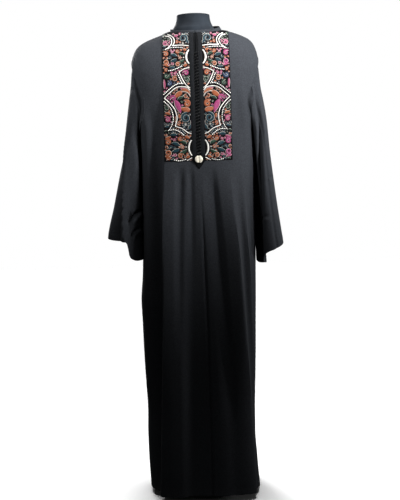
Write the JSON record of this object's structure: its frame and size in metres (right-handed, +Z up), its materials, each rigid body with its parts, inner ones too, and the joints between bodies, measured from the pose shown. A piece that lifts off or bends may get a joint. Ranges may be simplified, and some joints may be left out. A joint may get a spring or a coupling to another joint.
{
  "type": "djellaba on a dress form",
  "caption": "Long loose black robe with long wide sleeves, an embroidered front, a knotted placket and a round clasp, worn by a limbless dress form on a pole and base.",
  "frame": {"origin": "the middle of the round base's underside, on the floor below the pole", "axes": "+Z up; the garment's front faces -Y; +X is to the right of a viewer who faces its front"},
  "size_m": [0.5807, 0.3269, 1.5841],
  "materials": {
    "crepe": "matte crepe",
    "embroidery": "satin-stitched with beaded cords on black",
    "braid": "fine black braid",
    "pearl": "polished mother-of-pearl look",
    "form_jersey": "matte jersey",
    "stand_metal": "satin black"
  },
  "bodies": {
    "root": {"front": "crepe", "back": "crepe", "sleeve_left": "crepe", "sleeve_right": "crepe", "neckband": "crepe", "bib_left": "embroidery", "bib_right": "embroidery", "band_left": "braid", "band_right": "braid", "placket_point": "braid", "knot_01": "braid", "knot_02": "braid", "knot_03": "braid", "knot_04": "braid", "knot_05": "braid", "knot_06": "braid", "knot_07": "braid", "knot_08": "braid", "knot_09": "braid", "knot_10": "braid", "knot_11": "braid", "knot_12": "braid", "knot_13": "braid", "knot_14": "braid", "knot_15": "braid", "knot_16": "braid", "knot_17": "braid", "knot_18": "braid", "knot_19": "braid", "knot_20": "braid", "knot_21": "braid", "knot_22": "braid", "knot_23": "braid", "knot_24": "braid", "knot_25": "braid", "knot_26": "braid", "knot_27": "braid", "knot_28": "braid", "knot_29": "braid", "knot_30": "braid", "knot_31": "braid", "knot_32": "braid", "knot_33": "braid", "knot_34": "braid", "clasp_left": "pearl", "clasp_right": "pearl", "form_torso": "form_jersey", "form_neck_cap": "form_jersey", "stand_pole": "stand_metal", "stand_hub": "stand_metal", "stand_base": "stand_metal"}
  },
  "joints": []
}
